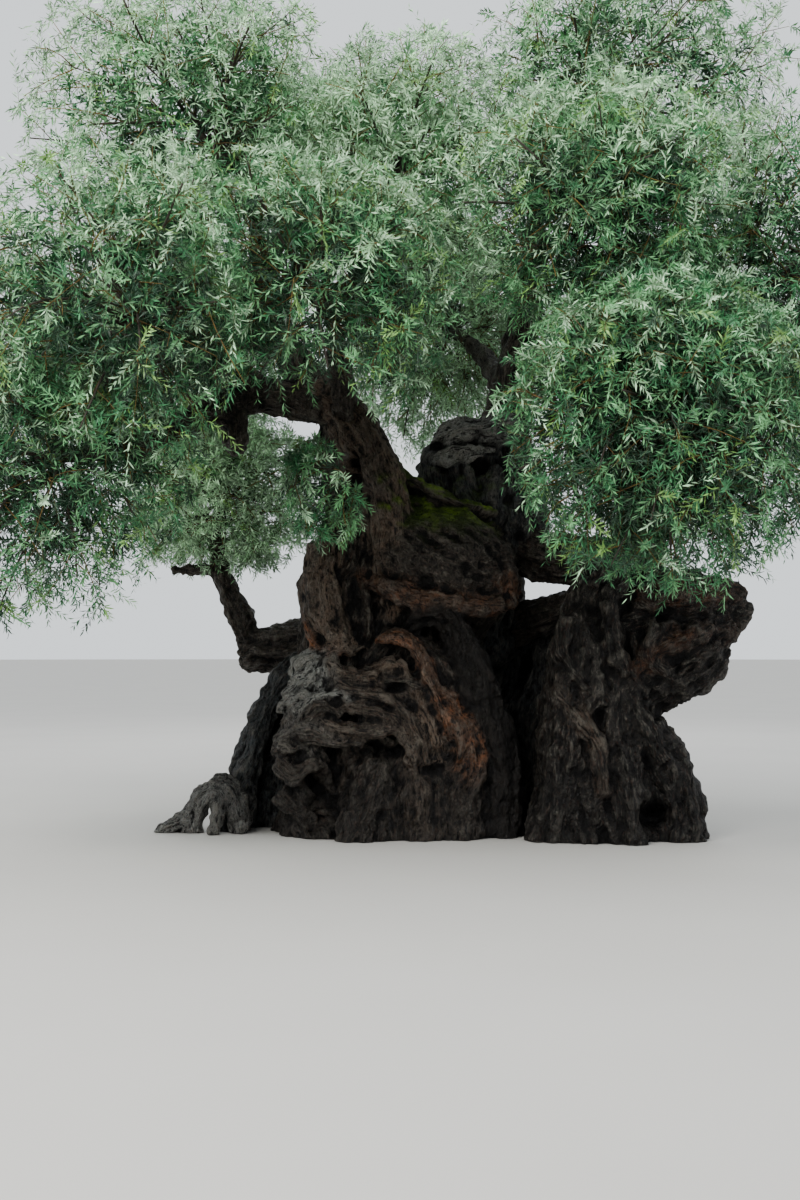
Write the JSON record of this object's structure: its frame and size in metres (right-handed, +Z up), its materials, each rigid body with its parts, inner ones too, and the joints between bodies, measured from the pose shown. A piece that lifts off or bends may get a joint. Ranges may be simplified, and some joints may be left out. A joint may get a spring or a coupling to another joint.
{
  "type": "olive tree",
  "caption": "Ancient olive tree with a massive twisted hollow trunk, heavy low boughs and a broad dense crown of narrow grey-green leaves.",
  "frame": {"origin": "on the flat ground cut under the middle of the left trunk", "axes": "+Z up, +X to the right as seen from the front, -Y the front, which the picture shows"},
  "size_m": [10.7629, 7.4275, 7.3528],
  "materials": {
    "bark": "deeply furrowed dark brown bark with reddish ropes of wood, damp",
    "dead_wood": "weathered, nearly black dead wood, damp",
    "pale_bark": "rough grey-brown knotted wood, damp",
    "foliage": "matt leathery leaves, dark green above and silver grey below"
  },
  "bodies": {
    "root": {"trunk_left": "bark", "stump_block": "dead_wood", "trunk_right": "bark", "trunk_back": "dead_wood", "shell_left": "pale_bark", "root_knuckle": "pale_bark", "bough_left_arm": "bark", "bough_left_knob": "bark", "bough_left_front": "bark", "bough_far_left": "bark", "bough_left_leader": "bark", "bough_left_inner": "bark", "bough_left_rear": "bark", "bough_top_middle": "bark", "bough_top_rear": "bark", "bough_middle": "bark", "bough_middle_rear": "bark", "bough_right_main": "bark", "bough_right_front": "bark", "bough_right_inner": "bark", "bough_far_right": "bark", "bough_right_rear": "bark", "bough_bridge": "bark", "bough_link": "bark", "bough_low_left": "bark", "bough_low_rise": "bark", "bough_low_stub": "bark", "bough_neck_twig": "bark", "foliage_left_front": "foliage", "foliage_left_low": "foliage", "foliage_left_inner": "foliage", "foliage_left_top": "foliage", "foliage_left_far": "foliage", "foliage_left_rear": "foliage", "foliage_top_middle": "foliage", "foliage_top_rear": "foliage", "foliage_middle_rear": "foliage", "foliage_right_top": "foliage", "foliage_right_front": "foliage", "foliage_right_inner": "foliage", "foliage_right_main": "foliage", "foliage_right_far": "foliage", "foliage_right_rear": "foliage", "foliage_low_rise": "foliage", "foliage_neck_front": "foliage"}
  },
  "joints": []
}
